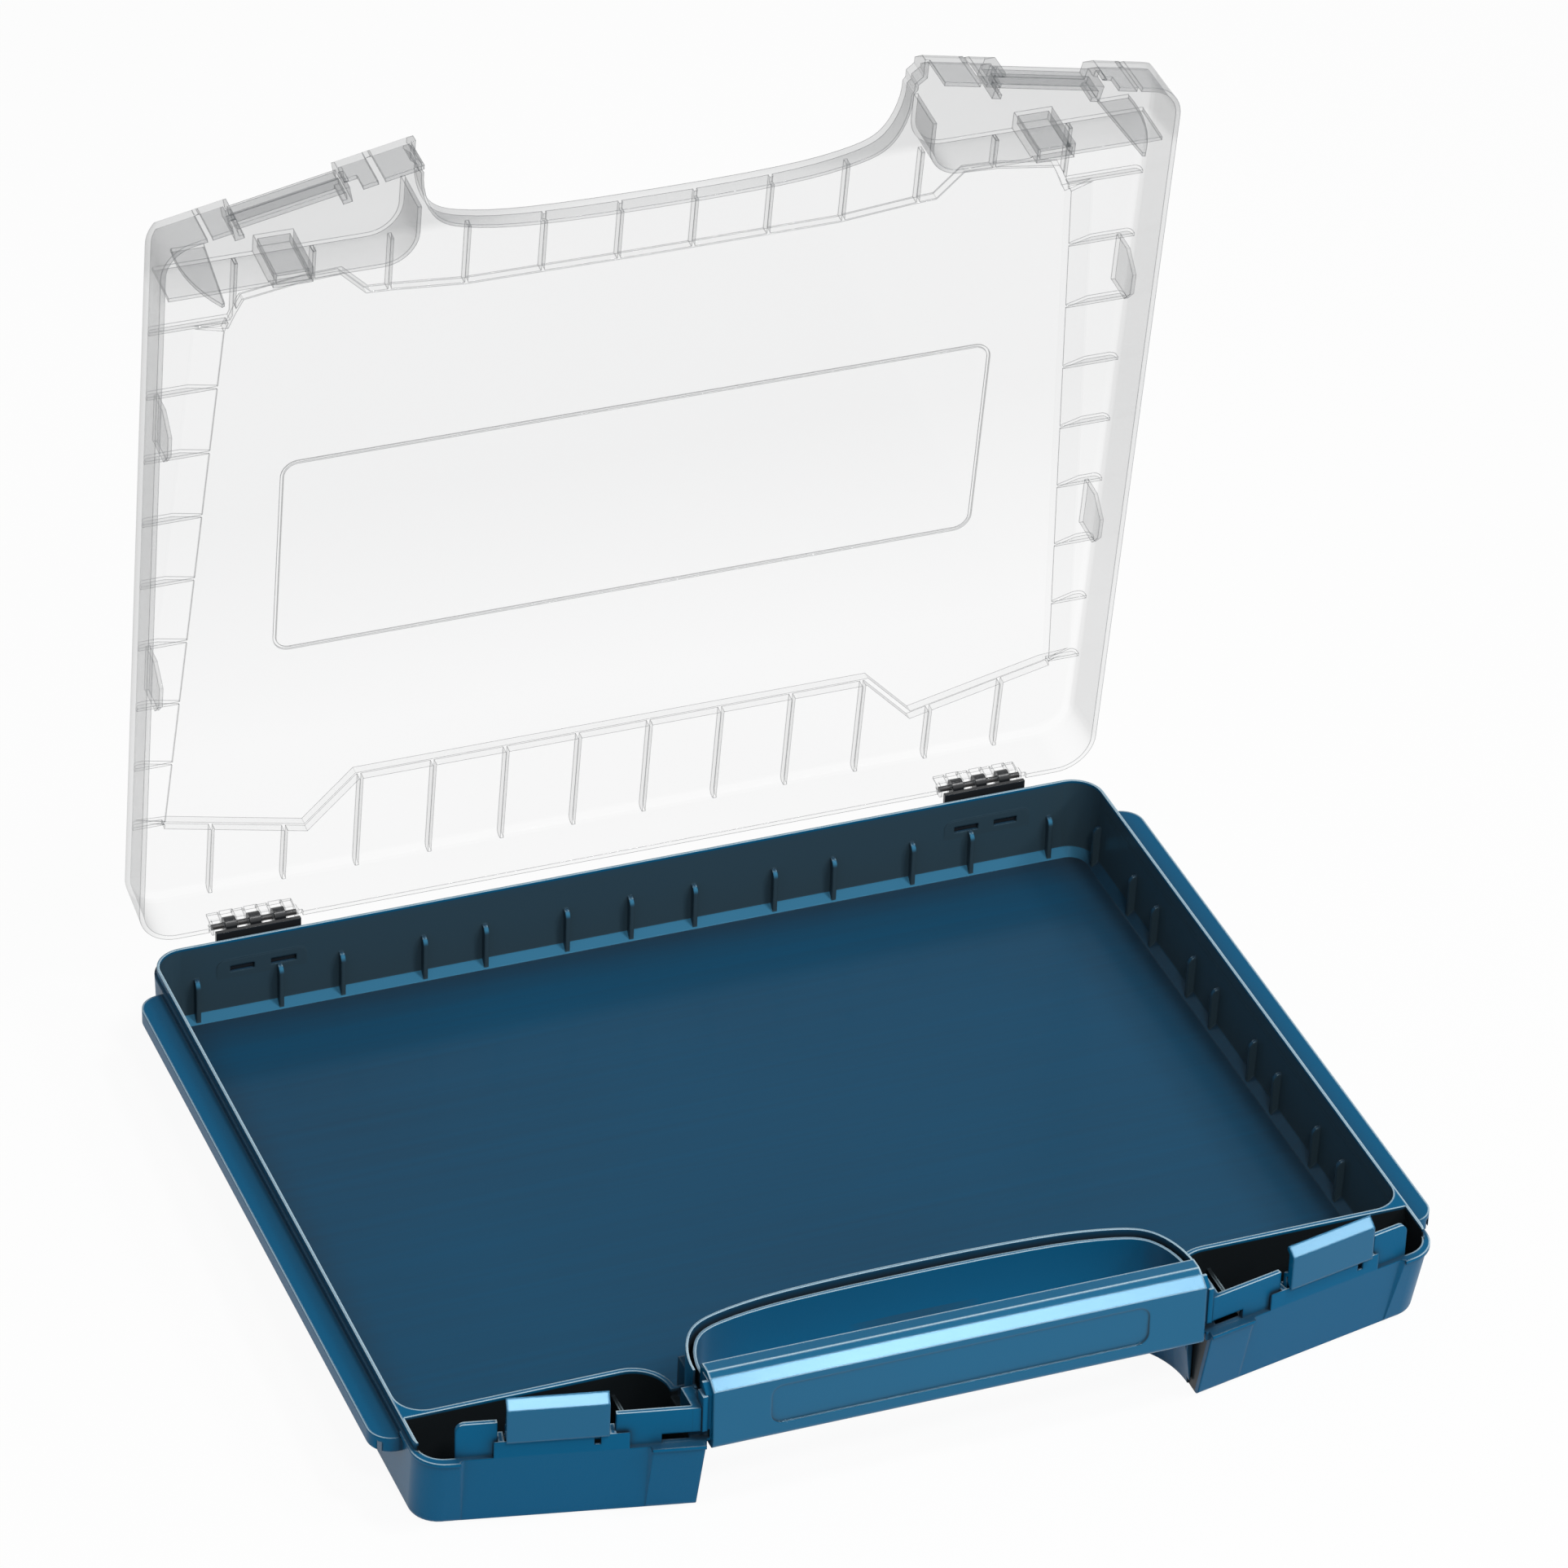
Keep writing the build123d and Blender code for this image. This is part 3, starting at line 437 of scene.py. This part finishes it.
# %% Floor
FLOOR_SIZE, FLOOR_BACK, FLOOR_DROP = 14, 2, 0.0002      # a hair below the case
PALE = (0.93, 0.93, 0.93, 1)
SEEN = 0.94         # how much of the plain white is seen; the rest keeps the case's shadow


def seen(finish):
    """How much the camera, a gleam or a clear piece sees the plain white of the studio."""
    rays = [finish.node("ShaderNodeLightPath", out=f"Is {kind} Ray")
            for kind in ("Camera", "Glossy", "Transmission")]
    return (rays[0] + rays[1] + rays[2]).over(1.0) * SEEN


bpy.ops.mesh.primitive_plane_add(size=FLOOR_SIZE, location=(0, FLOOR_BACK, -FLOOR_DROP))
floor = bpy.context.object
floor.name = "studio_floor"
pale = Finish(bpy.data.materials.new("studio_pale"))
matt = pale.node("ShaderNodeBsdfDiffuse", {"Color": PALE})
white = pale.node("ShaderNodeEmission", {"Strength": 1.0})
studio_pale = pale.done(pale.node("ShaderNodeMixShader", {0: seen(pale), 1: matt, 2: white}))
floor.data.materials.append(studio_pale)

# %% Room light
ROOM_LEVEL = 0.34
world = bpy.data.worlds.new("studio_room")
scene.world = world
room = Finish(world)
dim_room = room.node("ShaderNodeBackground", {"Strength": ROOM_LEVEL})
white_room = room.node("ShaderNodeBackground", {"Strength": 1.0})
room.done(room.node("ShaderNodeMixShader", {0: seen(room), 1: dim_room, 2: white_room}),
          "ShaderNodeOutputWorld")

# %% [markdown]
# ## Camera
# The case is seen from the front left and a little above, through a long lens from almost
# three metres.  A short lens close by would fill the frame as well, but it would splay the
# lid.  The camera is set by two angles, a small roll, the point it aims at and its distance,
# because those are easier to correct than a place and three rotations.

# %% Camera
AZIMUTH, ELEVATION, ROLL = (math.radians(a) for a in (-22.264, 33.836, 2.184))
AIM, DISTANCE = Vector((0.08553, 0.21832, 0.0025)), 2.84081
FOCAL_PX, FRAME_PX, SENSOR_MM, SEES_TO = 9726.9, 1925, 36.0, 60

back_dir = Vector((math.sin(AZIMUTH) * math.cos(ELEVATION), -math.cos(AZIMUTH) * math.cos(ELEVATION),
                   math.sin(ELEVATION)))
level_right = (-back_dir).cross(Vector((0, 0, 1))).normalized()
level_up = level_right.cross(-back_dir)
right = level_right * math.cos(ROLL) + level_up * math.sin(ROLL)
up = level_up * math.cos(ROLL) - level_right * math.sin(ROLL)
turn = Matrix((right, up, back_dir)).transposed().to_4x4()

lens = bpy.data.cameras.new("camera")
lens.sensor_width, lens.lens = SENSOR_MM, SENSOR_MM * FOCAL_PX / FRAME_PX
lens.clip_end = SEES_TO
camera = bpy.data.objects.new("camera", lens)
scene.collection.objects.link(camera)
camera.matrix_world = Matrix.Translation(AIM + back_dir * DISTANCE) @ turn
scene.camera = camera
scene.view_settings.view_transform = "Standard"
print("camera:", round(lens.lens), "mm lens at", [round(v, 2) for v in camera.location])

# %% [markdown]
# ## Lamps
# Three soft lamps above the case make the bevels of the latches and of the grip gleam.
# They could be pushed about by hand until the gleam sits right.  It is surer to work it
# out: a bevel mirrors the lamp into the camera when the lamp stands where the line to the
# camera, mirrored about the way the bevel faces, leads.

# %% Lamps
LAMP_DISTANCE = 2.4
BEVELS = [      # lamp, a place on the bevel, the way it faces, size of the lamp, watts
    ("left_latch_lamp", (-0.132, -0.149, 0.050), (-0.146, -0.681, 0.718), 0.36, 17),
    ("right_latch_lamp", (0.132, -0.149, 0.050), (0.146, -0.681, 0.718), 0.34, 11),
    ("grip_lamp", (0.0, -0.155, 0.050), (0.0, -0.536, 0.844), 0.40, 18)]


def mirror_lamp(name, point, normal, size, power):
    """A square lamp that the bevel at point mirrors into the camera."""
    point, normal = Vector(point), Vector(normal).normalized()
    to_camera = (camera.location - point).normalized()
    toward = 2 * normal.dot(to_camera) * normal - to_camera
    lamp = bpy.data.lights.new(name, "AREA")
    lamp.shape, lamp.size, lamp.energy = "SQUARE", size, power
    holder = bpy.data.objects.new(name, lamp)
    scene.collection.objects.link(holder)
    holder.location = point + toward * LAMP_DISTANCE
    holder.rotation_euler = toward.to_track_quat("Z", "Y").to_euler()
    print("lamp:", name, [round(v, 2) for v in holder.location])


for bevel in BEVELS:
    mirror_lamp(*bevel)

# %% [markdown]
# ## Sizes
# Dressing must not change the size of the case.
